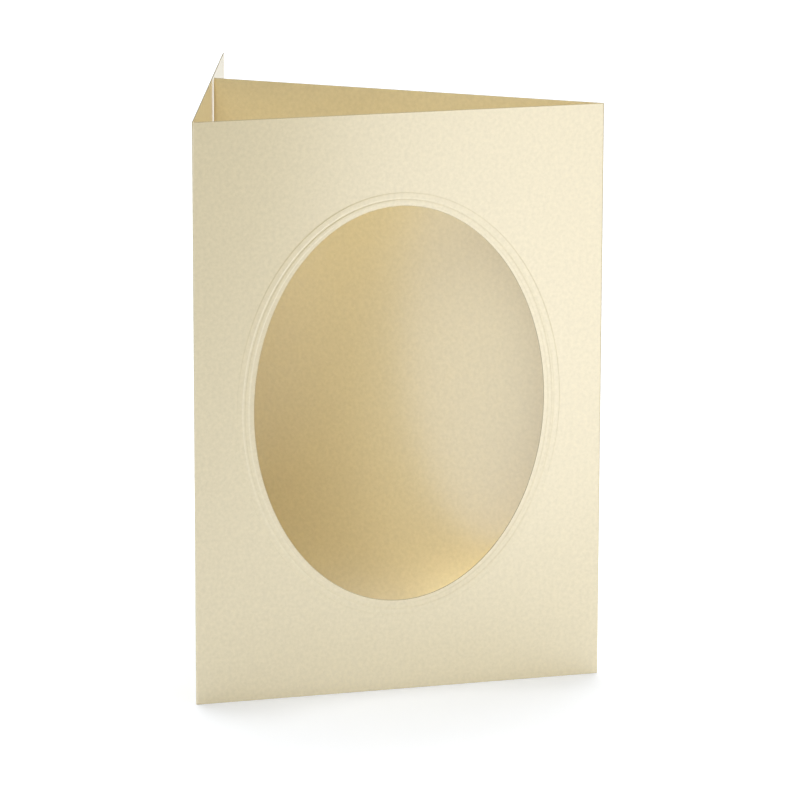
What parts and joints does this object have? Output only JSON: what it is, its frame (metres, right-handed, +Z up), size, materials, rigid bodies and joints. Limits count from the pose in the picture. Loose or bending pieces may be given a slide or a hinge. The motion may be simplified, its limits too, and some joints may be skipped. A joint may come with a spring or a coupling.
{
  "type": "passe-partout card",
  "caption": "Folded passe-partout card of ivory pearlescent sheet, with an oval window ringed by embossed beads, a closing leaf and a backing flap, standing half open.",
  "frame": {"origin": "middle of the window panel's lower edge, half way through the sheet", "axes": "+Z up the card as it stands, +X to the right across the window panel as seen from its front, -Y out of its front"},
  "size_m": [0.12, 0.1143, 0.168],
  "materials": {
    "pearl_card": "ivory card with a soft pearl coating, fine mottled grain and plain cut edges"
  },
  "bodies": {
    "root": {"folded_card": "pearl_card"}
  },
  "joints": []
}
